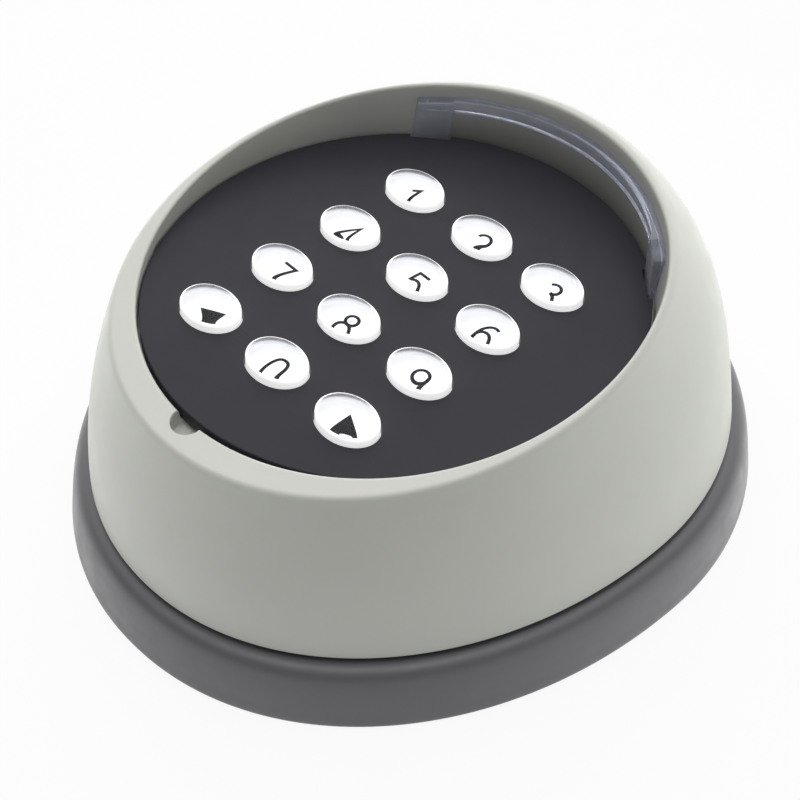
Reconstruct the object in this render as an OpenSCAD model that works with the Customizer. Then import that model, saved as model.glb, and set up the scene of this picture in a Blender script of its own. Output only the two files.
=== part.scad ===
// Wall keypad for gates and doors: a dark oval base, a light hooded housing that
// slopes down from its hood, and a lift-out front module with twelve keys.
// Origin: centre of the base's rear (wall) face. +Z points away from the wall,
// +Y towards the hood, +X to the right of a person facing the keys.

/* [Base] */
// Full width of the base where it meets the wall
base_width = 89.8; // [88:0.2:92]
// Full length of the base where it meets the wall
base_length = 98.6; // [97:0.2:100]
// Distance of the widest point above the middle of the base
base_mid = 6.8; // [6:0.1:7.5]
// Height of the ledge the housing sits on
ledge_z = 9.4; // [9:0.1:9.8]
// Thickness of the base floor
floor_thick = 2.6; // [2.4:0.1:2.8]
// Wall screw spacing across
wall_screw_x = 36; // [34:1:38]
// Wall screw spacing along
wall_screw_y = 60; // [58:1:62]
// Wall screw hole diameter
wall_screw_dia = 4.5; // [4:0.1:5]
// Cable hole in the rubber grommet, diameter
cable_dia = 6; // [5:0.5:7]

/* [Housing] */
// Full width of the housing's foot
foot_width = 82.6; // [82:0.2:83]
// Full length of the housing's foot
foot_length = 92.3; // [92:0.1:93]
// Height of the housing's foot above the wall
foot_z = 10.3; // [10.2:0.1:10.6]
// Full width of the rim's outer edge
rim_width = 67.2; // [67:0.1:67.6]
// Full length of the rim's outer edge
rim_length = 76.6; // [76.4:0.1:77]
// Height of the rim plane above the origin
rim_z = 37.3; // [37:0.1:37.6]
// Rise of the rim plane towards the hood, in mm per mm
rim_slope = 0.077; // [0.074:0.001:0.080]
// Thickness of the housing wall
skin = 2.1; // [1.9:0.1:2.1]
// How far the wall bows out behind the hood
bow_top = 4.16; // [3.6:0.1:4.4]
// How far the wall bows out below the keys
bow_low = 1.36; // [1:0.1:1.6]
// How far the wall bows out at the sides
bow_side = 0.51; // [0.3:0.1:0.8]

/* [Front module] */
// Backward tilt of the key face, in degrees
tilt = 3; // [2.8:0.1:3.2]
// Height of the key face at the middle of the key grid
face_z = 33.12; // [33.0:0.02:33.2]
// Thickness of the face plate
face_thick = 2; // [1.8:0.1:2]
// Key spacing across
pitch_x = 13; // [12.9:0.05:13.1]
// Key spacing along
pitch_y = 12; // [11.9:0.05:12.1]
// Key width
key_width = 9.06; // [9.0:0.02:9.4]
// Key length
key_length = 7; // [6.9:0.02:7.3]
// Clearance round each key
key_gap = 0.2; // [0.15:0.01:0.25]
// Height of the clear key cap above the face
cap_height = 1.25; // [1.1:0.05:1.6]

/* [Hidden] */

outline_points = 72;
ANGLES = [for (i = [0:outline_points-1]) i*360/outline_points];
grid_y = -4;         // middle of the key grid
contact_gap = 0.02;  // left between parts that touch

// ---------- outlines ----------
well_half_width = 32.25;
well_half_length = 34.5;
well_y = -1.33;
// The well's middle seen square to the key face
face_mid = (well_y - grid_y)/cos(tilt);

// An oval is [half width, length below its widest line, length above it, Y of that line,
// roundness]. Angles run from +Y towards +X.
BASE = [base_width/2, base_length/2 + base_mid, base_length/2 - base_mid, base_mid, 2.07];
foot_shift = 5.65;   // extra length below the foot's widest line
FOOT = [foot_width/2, foot_length/2 + foot_shift, foot_length/2 - foot_shift, 6, 2.05];
RIM = [rim_width/2, rim_length/2, rim_length/2, -2.05, 2];
MOUTH = [32.47, 35.45, 35.45, -0.55, 2];
WELL = [well_half_width, well_half_length, well_half_length, well_y, 2];
// An ellipse of the front module, drawn square to the key face
function face_oval(half_width, half_length) = [half_width, half_length, half_length, face_mid, 2];
FACE_WELL = face_oval(well_half_width, well_half_length);

function oval(shape, inset, angle) =
  let(s = sin(angle), c = cos(angle), power = 2/shape[4], reach = c < 0 ? shape[1] : shape[2])
  [(shape[0] - inset)*sign(s)*pow(abs(s), power),
    shape[3] + (reach - inset)*sign(c)*pow(abs(c), power)];
function flat_oval(shape, inset = 0) = [for (a = ANGLES) oval(shape, inset, -a)];
function ellipse(half_width, half_length, points = 40) =
  [for (i = [0:points-1]) [half_width*cos(i*360/points), half_length*sin(i*360/points)]];
function mix(from, to, share) = from*(1 - share) + to*share;
function rim_plane(y) = rim_z + rim_slope*y;
function face_plane(y) = face_z - tan(tilt)*(y - grid_y);

// ---------- shared builders ----------
// Solid through rings of equal point count; closed with caps, or back onto the first ring.
module loft(rings, closed = false) {
  count = len(rings);
  size = len(rings[0]);
  last = closed ? count : count - 1;
  sides = [for (i = [0:last-1]) for (j = [0:size-1])
    let(k = (j + 1) % size, next = (i + 1) % count)
    each [[i*size + j, i*size + k, next*size + k], [i*size + j, next*size + k, next*size + j]]];
  caps = closed ? [] :
    [[for (j = [size-1:-1:0]) j], [for (j = [0:size-1]) (count - 1)*size + j]];
  polyhedron(points = [for (r = rings) each r], faces = concat(sides, caps), convexity = 8);
}

module at_each(points, z = 0) for (p = points) translate([p.x, p.y, z]) children();

// Places children on an oval's edge, turned so that their +Y points outwards.
module at_edge(shape, angle, inset = 0) {
  p = oval(shape, inset, angle);
  translate([p.x, p.y, 0]) rotate([0, 0, -angle]) children();
}

module band(shape, outer, inner) difference() {
  polygon(flat_oval(shape, outer));
  polygon(flat_oval(shape, inner));
}

module cross_slot(length, width, height, z)
  for (a = [0, 90]) rotate([0, 0, a])
    translate([-length/2, -width/2, z]) cube([length, width, height]);

// ---------- housing ----------
PILLARS = [for (x = [-25, 25], y = [-18, 13]) [x, y]];
pillar_radius = 4.2;
seat_z = 27.2;       // where the case screw heads sit
boss_z = 12;         // top of the base bosses
pillar_z = boss_z + 0.2;
leg_angle = 40.75;   // light guide legs and hood lights, either side of +Y

shelf_drop = 2.05;   // from the key face down to the shelf round the well
shelf_bottom = 3.85;
shelf_inset = 2.2;
well_skin = 1.4;     // thickness of the wall round the well

// Shares of the wall's height at which it has a ring
WALL_LEVELS = [0, 0.12, 0.26, 0.4, 0.54, 0.68, 0.8, 0.9, 0.975];

function bow(angle) = let(s = sin(angle), c = cos(angle))
  bow_side*s*s + (c > 0 ? bow_top : bow_low)*c*c;
// Share of the bow at a level: none at foot and rim, most just above half way
function bow_at(level) = 4*level*(1 - level)*(1 + 0.13*(2*level - 1));
// Point on the wall: level runs from the foot (0) to the rim (1).
function wall(angle, level, inset) =
  let(flat = mix(oval(FOOT, inset, angle), oval(RIM, inset, angle), level),
    out = bow(angle)*bow_at(level)*[sin(angle), cos(angle)])
  concat(flat + out, mix(foot_z, rim_plane(oval(RIM, 0, angle).y), level));

// Points a drop below the rim plane, and below the key face on the well's edge
function on_rim(shape, angle, inset, drop) =
  let(p = oval(shape, inset, angle)) [p.x, p.y, rim_plane(p.y) - drop];
function well(angle, inset, drop) =
  let(p = oval(WELL, inset, angle)) [p.x, p.y, face_plane(p.y) - drop];
function rim_ring(shape, inset, drop) = [for (a = ANGLES) on_rim(shape, a, inset, drop)];
function well_ring(inset, drop) = [for (a = ANGLES) well(a, inset, drop)];

// Ceiling of the hollow between the wall and the well: low at the sides, high at the hood.
function roof_level(angle) =
  let(c = cos(angle),
    rim_edge = rim_plane(oval(RIM, 0, angle).y),
    low = face_plane(oval(WELL, 0, angle).y) - 3.45,
    high = rim_edge - 3.2,
    z = mix(low, high, c*c*(c > 0 ? 1 : 0.15)))
  (z - foot_z)/(rim_edge - foot_z);
// Inner edge of that ceiling, on the far side of the wall round the well and mouth
function roof_inner(angle) =
  let(z = wall(angle, roof_level(angle), skin).z,
    top = on_rim(MOUTH, angle, -well_skin, 0),
    low = well(angle, -well_skin, 0),
    share = max(0, min(1, (z - low.z)/max(1, top.z - low.z))))
  [mix(low.x, top.x, share), mix(low.y, top.y, share), z];

// Rings go up the outside, over the rim, down the well, round the shelf, up its back to
// the ceiling, then down the inside of the wall.
module housing_shell() loft([
  for (level = WALL_LEVELS) [for (a = ANGLES) wall(a, level, 0)],
  rim_ring(RIM, 0.18, 0.18),
  rim_ring(RIM, 0.55, 0),
  rim_ring(MOUTH, -0.25, 0),
  rim_ring(MOUTH, 0, 0.25),
  well_ring(0, shelf_drop),
  well_ring(shelf_inset, shelf_drop),
  well_ring(shelf_inset, shelf_bottom),
  well_ring(-well_skin, shelf_bottom),
  [for (a = ANGLES) roof_inner(a)],
  for (k = [1, 0.8, 0.6, 0.4, 0.2, 0]) [for (a = ANGLES) wall(a, k*roof_level(a), skin)]
], closed = true);

module housing() color([0.80, 0.81, 0.76]) difference() {
  union() {
    housing_shell();
    for (p = PILLARS) translate([p.x, p.y, pillar_z])
      cylinder(r = pillar_radius,
        h = face_plane(p.y + pillar_radius) - shelf_drop - 0.1 - pillar_z, $fn = 48);
  }
  // screw clearance and head recesses
  at_each(PILLARS, 5) cylinder(r = 1.7, h = 30, $fn = 32);
  at_each(PILLARS, seat_z) cylinder(r = 3.1, h = 8, $fn = 32);
  // half-round pry notch in the rim, below the keys
  translate([0, -36.2, 31.95]) cylinder(r = 2.05, h = 8, $fn = 48);
  // pockets in the shelf for the two hood lights
  for (a = [-leg_angle, leg_angle]) at_edge(WELL, a)
    translate([-1.9, -2.05, 24]) cube([3.8, 1.75, 6.6]);
}

// Screws: shank and tip below z = 0, head above it
module case_screws() color([0.72, 0.72, 0.74]) at_each(PILLARS, seat_z + contact_gap)
  difference() {
    union() {
      cylinder(r = 2.75, h = 1.5, $fn = 32);
      translate([0, 0, 1.45]) cylinder(r1 = 2.75, r2 = 2.2, h = 0.45, $fn = 32);
      translate([0, 0, -21]) cylinder(r = 1.45, h = 21.2, $fn = 32);
      translate([0, 0, -22.4]) cylinder(r1 = 0.5, r2 = 1.45, h = 1.5, $fn = 32);
    }
    cross_slot(length = 3, width = 0.6, height = 2, z = 0.9);
  }

// ---------- base ----------
WALL_SCREWS = [for (x = [-wall_screw_x/2, wall_screw_x/2], y = [-wall_screw_y/2, wall_screw_y/2])
  [x, y]];
cable_y = -22;
channel_outer = 2.6;   // insets of the wall seal's channel
channel_inner = 6.6;
channel_depth = 1.5;
seal_gap = 0.1;

// Outside of the base: [inset, height]
BASE_PROFILE = [[0.35, 0], [0, 0.4], [0.3, 2.6], [0.7, 5.2], [1.2, 7.4], [1.6, 8.4],
  [2.2, 9.05], [3.0, ledge_z]];
// The lip that stands up inside the housing's foot: [inset, height]
LIP_PROFILE = [[2.8, ledge_z], [2.95, 13]];

function rings(shape, profile) = [for (step = profile)
  [for (a = ANGLES) concat(oval(shape, step[0], a), step[1])]];

module base_tray() color([0.39, 0.39, 0.41]) difference() {
  union() {
    difference() {
      loft(concat(rings(BASE, BASE_PROFILE), rings(FOOT, LIP_PROFILE)));
      translate([0, 0, floor_thick]) linear_extrude(12) polygon(flat_oval(FOOT, 4.6));
    }
    // bosses for the case screws, the wall screws and the grommet
    at_each(PILLARS, 1) cylinder(r = 3.6, h = boss_z - 1, $fn = 48);
    at_each(WALL_SCREWS, 1) cylinder(r = 5, h = 2.6, $fn = 48);
    translate([0, cable_y, 1.5]) cylinder(r = 8, h = 2.5, $fn = 48);
  }
  at_each(PILLARS, 4) cylinder(r = 1.5, h = 12, $fn = 32);
  at_each(WALL_SCREWS, -1) cylinder(d = wall_screw_dia, h = 8, $fn = 32);
  translate([0, cable_y, -1]) cylinder(r = 5, h = 8, $fn = 48);
  // rear recess for the grommet's flange
  translate([0, cable_y, -1]) cylinder(r = 7.3, h = 2.3, $fn = 48);
  translate([0, 0, -1]) linear_extrude(channel_depth + 1)
    band(BASE, channel_outer, channel_inner);
}

module wall_seal() color([0.10, 0.10, 0.10]) linear_extrude(channel_depth - 0.05)
  band(BASE, channel_outer + seal_gap, channel_inner - seal_gap);

module housing_seal() color([0.06, 0.06, 0.06]) translate([0, 0, ledge_z + 0.01])
  linear_extrude(foot_z - ledge_z - 0.02) band(FOOT, 0.55, 2.65);

// Section of the grommet: [radius, height]
GROMMET = [[cable_dia/2, 0.1], [7.1, 0.1], [7.1, 1.22], [4.9, 1.22], [4.9, 4.08],
  [6.6, 4.08], [6.2, 5.4], [cable_dia/2, 5.4]];
module cable_grommet() color([0.12, 0.12, 0.12]) translate([0, cable_y, 0])
  rotate_extrude($fn = 48) polygon(GROMMET);

// ---------- front module ----------
// Everything inside front() is drawn square to the key face, whose front is z = 0.
module front() translate([0, grid_y, face_z]) rotate([-tilt, 0, 0]) children();

KEYS = [for (row = [1.5:-1:-1.5], column = [-1:1]) [column*pitch_x, row*pitch_y]];
LEDS = [for (column = [-0.5, 0.5], row = [-1:1]) [column*pitch_x, row*pitch_y]];
POSTS = [[0, 25.3], [0, -25], [-23, 0], [23, 0]];
FACE_PILLARS = [for (p = PILLARS) [p.x, (p.y - grid_y)/cos(tilt)]];
board_top = -5.65;
board_thick = 1.6;
board_bottom = board_top - board_thick;
plate_gap = 0.22;   // between the face plate and the well
hook_inset = 2.5;   // of the hooks from the well's edge

module face_hook() { // springy hook that holds the front module under the shelf
  translate([-2.5, -1.2, -5]) cube([5, 1.2, 3.5]);
  translate([-2.5, -0.3, -5]) cube([5, 1.25, 0.95]);
}

module face_plate() color([0.24, 0.24, 0.25]) front() difference() {
  union() {
    translate([0, 0, -face_thick]) linear_extrude(face_thick)
      polygon(flat_oval(FACE_WELL, plate_gap));
    at_each(POSTS, board_top + contact_gap) cylinder(r = 2, h = -board_top - 1, $fn = 32);
    for (a = [90, -90, 0, 180]) at_edge(FACE_WELL, a, hook_inset) face_hook();
  }
  at_each(KEYS, -face_thick - 1) linear_extrude(face_thick + 2)
    polygon(ellipse(key_width/2 + key_gap, key_length/2 + key_gap));
  at_each(POSTS, board_top - 1) cylinder(r = 0.85, h = 4, $fn = 24);
  // notches for the light guide's legs
  for (a = [-leg_angle, leg_angle]) at_edge(FACE_WELL, a)
    translate([-2.9, -1.05, -4]) cube([5.8, 3.15, 6]);
}

// Point on the hood's inner wall: depth runs from the mouth (0) to the key face (1).
function hood(angle, depth, inset) =
  mix(on_rim(MOUTH, angle, inset, 0.2), well(angle, inset, 0), depth);
function steps(from, to, count) = [for (i = [0:count]) mix(from, to, i/count)];

// Clear light guide on the hood's inner wall, with a leg at each end. A leg is thick at
// the top and thinner where it drops into the face plate's notch.
module light_guide() color([0.55, 0.60, 0.68, 0.6]) {
  loft([for (a = steps(-43, 43, 30))
    [hood(a, 0.21, 0.08), hood(a, 0.44, 0.08), hood(a, 0.44, 1.3), hood(a, 0.21, 1.3)]]);
  for (span = [[-45.4, -36.1], [36.1, 45.4]])
    loft([for (a = steps(span[0], span[1], 4))
      [hood(a, 0.205, 0.1), well(a, 0.1, 2), well(a, 0.8, 2), hood(a, 0.205, 1.75)]]);
}

// Lights in the shelf pockets, each on two wires that bend inwards
module hood_leds() for (a = [-leg_angle, leg_angle]) at_edge(WELL, a) {
  z = face_plane(22.5);
  color([0.92, 0.90, 0.80]) translate([-1.5, -1.85, z - 3.7]) cube([3, 1.3, 1.5]);
  color([0.75, 0.75, 0.75]) for (x = [-0.9, 0.9]) translate([x, -1.2, z - 7.9]) {
    cylinder(r = 0.25, h = 4.3, $fn = 16);
    rotate([90, 0, 0]) cylinder(r = 0.25, h = 4.2, $fn = 16);
  }
}

// Section of the rubber dome under each key: [radius, z]
DOME = [[4.7, board_top + 0.9], [4.45, -4.2], [3.6, -3.3], [3.4, -3.06], [0, -3.06],
  [0, -4.75], [1.5, -4.75], [1.5, -3.9], [2.7, -3.9], [3.75, -4.6],
  [3.75, board_top + 0.1], [4.7, board_top + 0.1]];
module key_mat() color([0.85, 0.86, 0.86]) front() {
  difference() {
    translate([0, 0, board_top + contact_gap]) linear_extrude(1)
      polygon(flat_oval(face_oval(27, 29)));
    at_each(FACE_PILLARS, board_top - 1) cylinder(r = 5.2, h = 4, $fn = 40);
    at_each(POSTS, board_top - 1) cylinder(r = 2.4, h = 4, $fn = 32);
    at_each(KEYS, board_top - 1) cylinder(r = 4, h = 4, $fn = 40);
    at_each(LEDS, board_top - 1) translate([-1.5, -1.2, 0]) cube([3, 2.4, 4]);
  }
  at_each(KEYS) rotate_extrude($fn = 40) polygon(DOME);
}

module circuit_board() color([0.10, 0.38, 0.20]) front()
  translate([0, 0, board_bottom]) linear_extrude(board_thick) difference() {
    polygon(flat_oval(face_oval(27.8, 30)));
    at_each(FACE_PILLARS) circle(r = 4.8, $fn = 40);
    at_each(POSTS) circle(r = 1.1, $fn = 24);
  }

module board_screws() color([0.75, 0.75, 0.77]) front()
  at_each(POSTS, board_bottom - contact_gap) difference() {
    union() {
      translate([0, 0, -1.3]) cylinder(r = 1.85, h = 1.3, $fn = 32);
      translate([0, 0, -0.1]) cylinder(r = 0.8, h = 3.9, $fn = 24);
    }
    cross_slot(length = 2.2, width = 0.4, height = 1.3, z = -2);
  }

module backlight_leds() color([0.97, 0.95, 0.85]) front()
  at_each(LEDS, board_top + contact_gap) translate([-1, -0.62, 0]) cube([2, 1.25, 0.8]);

// Parts soldered under the board: drawn with z pointing away from its underside.
module under(x, y) front() translate([x, y, board_bottom - contact_gap])
  mirror([0, 0, 1]) children();

module microcontroller() color([0.12, 0.12, 0.13]) under(x = -8, y = 2) {
  translate([-5.2, -3.75, 0.15]) cube([10.4, 7.5, 2.2]);
  // two rows of eight pins
  for (y = [-5.2, 3.7], i = [0:7]) translate([-4.65 + i*1.27, y, 0]) cube([0.42, 1.5, 0.9]);
}

module crystal() color([0.78, 0.78, 0.80]) under(x = -8, y = -5.5)
  hull() for (x = [-3.2, 3.2]) translate([x, 0, 0]) cylinder(r = 2, h = 3.4, $fn = 32);

module voltage_regulator() color([0.13, 0.13, 0.14]) under(x = 9, y = 1) {
  translate([-3.25, -3, 0.1]) cube([6.5, 6, 2.3]);
  // tab and two pins
  translate([-2.7, 2.9, 0]) cube([5.4, 1.6, 0.6]);
  for (x = [-2.3, 2.3]) translate([x - 0.35, -5, 0]) cube([0.7, 2.1, 0.7]);
}

module capacitors() color([0.16, 0.20, 0.36])
  for (x = [8.2, 15.2]) under(x, y = 11) cylinder(r = 2.5, h = 6.4, $fn = 40);

module buzzer() color([0.08, 0.08, 0.08]) under(x = -11, y = 14) difference() {
  cylinder(r = 6, h = 7, $fn = 56);
  translate([0, 0, 3]) cylinder(r = 1, h = 5, $fn = 24);
}

terminal_y = -14.5;
WAYS = [-7.5, -2.5, 2.5, 7.5];
module terminal_block() color([0.12, 0.42, 0.26]) under(x = 0, y = terminal_y) difference() {
  translate([-10, -4, 0]) cube([20, 8, 10]);
  // screw wells and wire openings
  for (x = WAYS) translate([x, 0, 5.5]) cylinder(r = 1.9, h = 6, $fn = 32);
  for (x = WAYS) translate([x - 1.6, -5, 1.4]) cube([3.2, 5.5, 3]);
}

module terminal_screws() color([0.80, 0.78, 0.70]) under(x = 0, y = terminal_y)
  for (x = WAYS) translate([x, 0, 5.55]) difference() {
    cylinder(r = 1.8, h = 3, $fn = 32);
    translate([-2, -0.3, 2]) cube([4, 0.6, 2]);
  }

// ---------- keys ----------
// A key is a flat white carrier under the face plate and a deep clear cap with a domed
// top. The cap stands just above the carrier and passes through the plate.
cap_bottom = -2.08;
cap_shoulder = 0.35;   // top of the cap's straight side
// Dome of the cap: [scale of the key's outline, share of the rise from shoulder to crown]
CAP_DOME = [[1, 0], [0.965, 0.604], [0.86, 0.82], [0.62, 0.96], [0.3, 1]];

module at_key(i) front() translate([KEYS[i].x, KEYS[i].y, 0]) children();
function cap_ring(scale, z) =
  [for (p = ellipse(key_width/2, key_length/2, 36)) [p.x*scale, p.y*scale, z]];

module key_body(i) color([0.95, 0.95, 0.95]) at_key(i)
  translate([0, 0, -3]) linear_extrude(0.9) polygon(ellipse(5.7, 4.6));

module key_cap(i) color([0.90, 0.92, 0.95, 0.5]) at_key(i) loft([
  cap_ring(1, cap_bottom),
  for (step = CAP_DOME) cap_ring(step[0], mix(cap_shoulder, cap_height, step[1]))
]);

base_tray();
wall_seal();
cable_grommet();
housing_seal();
housing();
case_screws();
face_plate();
light_guide();
hood_leds();
key_mat();
circuit_board();
board_screws();
backlight_leds();
microcontroller();
crystal();
voltage_regulator();
capacitors();
buzzer();
terminal_block();
terminal_screws();
key_cap(0);  // key_1_cap
key_cap(1);  // key_2_cap
key_cap(2);  // key_3_cap
key_cap(3);  // key_4_cap
key_cap(4);  // key_5_cap
key_cap(5);  // key_6_cap
key_cap(6);  // key_7_cap
key_cap(7);  // key_8_cap
key_cap(8);  // key_9_cap
key_cap(9);  // key_left_cap
key_cap(10);  // key_0_cap
key_cap(11);  // key_right_cap
key_body(0);  // key_1_body
key_body(1);  // key_2_body
key_body(2);  // key_3_body
key_body(3);  // key_4_body
key_body(4);  // key_5_body
key_body(5);  // key_6_body
key_body(6);  // key_7_body
key_body(7);  // key_8_body
key_body(8);  // key_9_body
key_body(9);  // key_left_body
key_body(10);  // key_0_body
key_body(11);  // key_right_body
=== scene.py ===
"""A wall keypad: grey base, pale hooded housing and twelve clear-capped keys on a dark face plate.

X runs right, Y up the wall and Z out of it, with the wall at z = 0. Meshes are built in
millimetres and scaled to metres when settled. The key face leans by TILT, so it has its own
frame: x, y from the middle of the key grid and w out of the face, with w = 0 at its front.
Angles round an outline start at +Y and run towards +X.
"""
import bpy
import bmesh
import math
from collections import namedtuple
import numpy as np
from mathutils import Matrix, Vector


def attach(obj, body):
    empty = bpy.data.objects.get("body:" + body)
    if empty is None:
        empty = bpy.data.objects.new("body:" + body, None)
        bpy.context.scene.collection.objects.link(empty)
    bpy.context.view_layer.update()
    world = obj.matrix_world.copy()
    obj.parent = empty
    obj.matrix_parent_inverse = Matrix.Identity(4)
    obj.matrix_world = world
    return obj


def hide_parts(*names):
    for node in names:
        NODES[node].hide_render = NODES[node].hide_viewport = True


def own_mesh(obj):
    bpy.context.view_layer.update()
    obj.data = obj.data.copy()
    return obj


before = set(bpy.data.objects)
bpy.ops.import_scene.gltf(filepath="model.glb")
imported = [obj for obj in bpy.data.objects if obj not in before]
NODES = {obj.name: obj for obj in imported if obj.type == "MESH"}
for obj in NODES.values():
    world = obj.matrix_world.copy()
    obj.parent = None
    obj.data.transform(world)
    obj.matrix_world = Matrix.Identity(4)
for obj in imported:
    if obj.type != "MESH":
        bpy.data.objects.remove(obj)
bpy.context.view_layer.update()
MM = 0.001
FULL_TURN = 2 * math.pi

# ------------------------------------------------------------------ driving sizes, millimetres
# Each outline is a superellipse that reaches further down (-Y) or up (+Y) its centre.
Oval = namedtuple("Oval", "half_width down up centre_y power")
BASE = Oval(44.9, 56.1, 42.5, 6.8, 2.07)
FOOT = Oval(41.3, 51.8, 40.5, 6.0, 2.05)
RIM = Oval(33.6, 38.3, 38.3, -2.05, 2.0)
MOUTH = Oval(32.47, 35.45, 35.45, -0.55, 2.0)
WELL = Oval(32.25, 34.5, 34.5, -1.33, 2.0)

TILT = math.radians(3)
SIN_TILT, COS_TILT = math.sin(TILT), math.cos(TILT)
GRID_Y, FACE_Z = -4.0, 33.12                  # where the key grid's middle lies
FACE_Y = (WELL.centre_y - GRID_Y) / COS_TILT  # the well's centre, in the face frame
FOOT_Z = 10.3                                 # lower edge of the housing
LEDGE_Z = 9.4                                 # top of the base's shoulder
SKIN = 2.1                                    # housing wall thickness

PITCH_X, PITCH_Y = 13, 12
KEY_GRID = {"1": (-1, 1.5), "2": (0, 1.5), "3": (1, 1.5),
            "4": (-1, 0.5), "5": (0, 0.5), "6": (1, 0.5),
            "7": (-1, -0.5), "8": (0, -0.5), "9": (1, -0.5),
            "left": (-1, -1.5), "0": (0, -1.5), "right": (1, -1.5)}
KEYS = {key: (column * PITCH_X, row * PITCH_Y) for key, (column, row) in KEY_GRID.items()}
KEY_A, KEY_B, KEY_GAP = 4.53, 3.5, 0.2        # half width, half height, gap to the plate
PRINT_W = -2.1                                # the carrier's printed face, under the clear cap

LEG_FROM, LEG_TO = 36.1, 45.4                 # degrees of the well that each guide leg spans
LEG_ANGLE = math.radians((LEG_FROM + LEG_TO) / 2)
LEG_HALF_ANGLE = math.radians((LEG_TO - LEG_FROM) / 2)

PILLARS = [(x, y) for x in (-25, 25) for y in (-18, 13)]
PILLAR_R = 4.2
PILLAR_FOOT_Z = 12.0                          # where housing pillars meet the base's
SCREW_SEAT_Z = 27.2
POSTS = [(0, 25.3), (0, -25), (-23, 0), (23, 0)]  # behind the face plate, face frame


# ------------------------------------------------------------------ curves and surfaces
def around(count):
    return np.arange(count) * FULL_TURN / count


SEGMENTS = 288
AROUND = around(SEGMENTS)


def oval_xy(oval, inset, angle):
    s, c, e = np.sin(angle), np.cos(angle), 2 / oval.power
    x = (oval.half_width - inset) * np.sign(s) * np.abs(s) ** e
    reach = np.where(c < 0, oval.down, oval.up) - inset
    return x, oval.centre_y + reach * np.sign(c) * np.abs(c) ** e


def xyz(x, y, z):
    x = np.asarray(x, float)
    return np.column_stack([x, np.broadcast_to(y, x.shape), np.broadcast_to(z, x.shape)])


def at_height(points, z):
    return np.column_stack([points, np.full(len(points), z)])


def oval_ring(oval, inset, z):
    return xyz(*oval_xy(oval, inset, AROUND), z)


def ellipse(cx, cy, a, b, count):
    t = around(count)
    return np.column_stack([cx + a * np.cos(t), cy + b * np.sin(t)])


def mix(a, b, t):
    return a * (1 - t) + b * t


def bezier(start, corner, end, count):
    return [start * (1 - t) ** 2 + corner * 2 * t * (1 - t) + end * t * t
            for t in np.linspace(0, 1, count)]


def rim_plane(y):
    return 37.3 + 0.077 * y


def face_plane(y):
    return FACE_Z - math.tan(TILT) * (y - GRID_Y)


def bulge(angle, t):
    """How far the housing wall swells out between its foot (t = 0) and rim (t = 1)."""
    sides, top, bottom, lift = 0.51, 4.16, 1.36, 0.13
    s, c = np.sin(angle), np.cos(angle)
    most = sides * s * s + np.where(c > 0, top, bottom) * c * c
    return most * (4 * t * (1 - t) * (1 + lift * (2 * t - 1)))


def wall(angle, t, inset):
    foot_x, foot_y = oval_xy(FOOT, inset, angle)
    rim_x, rim_y = oval_xy(RIM, inset, angle)
    rim_z = rim_plane(oval_xy(RIM, 0, angle)[1])
    out = bulge(angle, t)
    return np.column_stack([mix(foot_x, rim_x, t) + out * np.sin(angle),
                            mix(foot_y, rim_y, t) + out * np.cos(angle),
                            mix(FOOT_Z, rim_z, t)])


def mouth(angle, inset, drop):
    x, y = oval_xy(MOUTH, inset, angle)
    return xyz(x, y, rim_plane(y) - drop)


def well(angle, inset, drop):
    x, y = oval_xy(WELL, inset, angle)
    return xyz(x, y, face_plane(y) - drop)


def front(points):
    """Points of the face frame, in the shared frame."""
    p = np.asarray(points, float).reshape(-1, 3)
    return np.column_stack([p[:, 0],
                            GRID_Y + p[:, 1] * COS_TILT + p[:, 2] * SIN_TILT,
                            FACE_Z - p[:, 1] * SIN_TILT + p[:, 2] * COS_TILT])


def turn_and_move(points, cx, cy, angle):
    """Points turned anticlockwise about Z, then moved to (cx, cy)."""
    c, s = math.cos(angle), math.sin(angle)
    return np.column_stack([cx + points[:, 0] * c - points[:, 1] * s,
                            cy + points[:, 0] * s + points[:, 1] * c, points[:, 2]])


def rounded_box(u0, u1, v0, v1, high_r, low_r, steps):
    """Section outline with corner radius high_r on its u1 side and low_r on its u0 side."""
    corners = ((u1 - high_r, v1 - high_r, high_r, 0), (u0 + low_r, v1 - low_r, low_r, 90),
               (u0 + low_r, v0 + low_r, low_r, 180), (u1 - high_r, v0 + high_r, high_r, 270))
    points = []
    for u, v, radius, start in corners:
        for j in range(steps + 1):
            t = math.radians(start + 90 * j / steps)
            points.append((u + radius * math.cos(t), v + radius * math.sin(t)))
    return points


# ------------------------------------------------------------------ mesh helpers
def new_object(name, mesh):
    ob = bpy.data.objects.new(name, mesh)
    bpy.context.scene.collection.objects.link(ob)
    return ob


def mesh_from(name, verts, faces):
    mesh = bpy.data.meshes.new(name)
    mesh.from_pydata([tuple(map(float, v)) for v in verts], [], faces)
    bm = bmesh.new()
    bm.from_mesh(mesh)
    bmesh.ops.remove_doubles(bm, verts=bm.verts, dist=1e-5)
    bmesh.ops.recalc_face_normals(bm, faces=bm.faces)
    bm.to_mesh(mesh)
    bm.free()
    return new_object(name, mesh)


def loft(name, rings, closed=False):
    """Skins rings of equal count; the last joins the first if closed, else both ends are capped."""
    n, count = len(rings[0]), len(rings)
    faces = []
    for i in range(count if closed else count - 1):
        above = (i + 1) % count
        for j in range(n):
            k = (j + 1) % n
            faces.append((i * n + j, i * n + k, above * n + k, above * n + j))
    if not closed:
        faces.append(tuple(range(n))[::-1])
        faces.append(tuple((count - 1) * n + j for j in range(n)))
    return mesh_from(name, np.vstack(rings), faces)


def turned(name, cx, cy, profile, count=64, place=None):
    """A turned solid from (radius, height) pairs; the first and last are closed flat."""
    rings = [at_height(ellipse(cx, cy, r, r, count), z) for r, z in profile]
    if place is not None:
        rings = [place(ring) for ring in rings]
    return loft(name, rings)


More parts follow.
